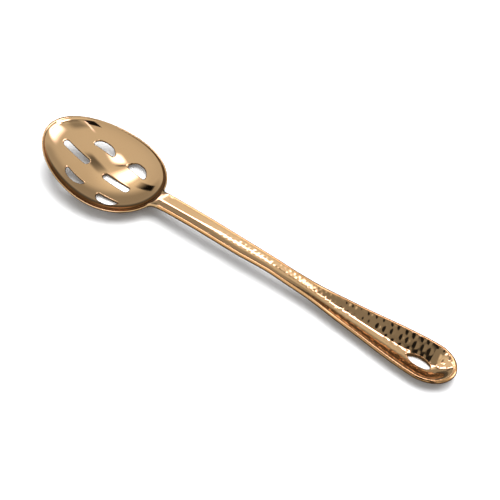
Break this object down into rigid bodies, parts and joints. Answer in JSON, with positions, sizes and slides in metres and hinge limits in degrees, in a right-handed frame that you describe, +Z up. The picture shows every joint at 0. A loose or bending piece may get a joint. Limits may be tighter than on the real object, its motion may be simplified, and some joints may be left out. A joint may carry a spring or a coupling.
{
  "type": "slotted serving spoon",
  "caption": "Long serving spoon with a slotted oval bowl, a hollow hammered handle and a leaf-shaped hanging eye in its dished end.",
  "frame": {"origin": "middle of the overall length and width, on the surface that the spoon lies on", "axes": "+X runs from the bowl's tip to the handle's end, +Y to one side, +Z up out of the bowl"},
  "size_m": [0.3312, 0.068, 0.0246],
  "materials": {
    "polished_plate": "polished",
    "hammered_plate": "polished",
    "dressed_weld": "polished"
  },
  "bodies": {
    "root": {"bowl": "polished_plate", "handle_top_shell": "hammered_plate", "handle_bottom_shell": "polished_plate", "neck_weld": "dressed_weld", "edge_weld": "dressed_weld", "eye_weld": "dressed_weld"}
  },
  "joints": []
}
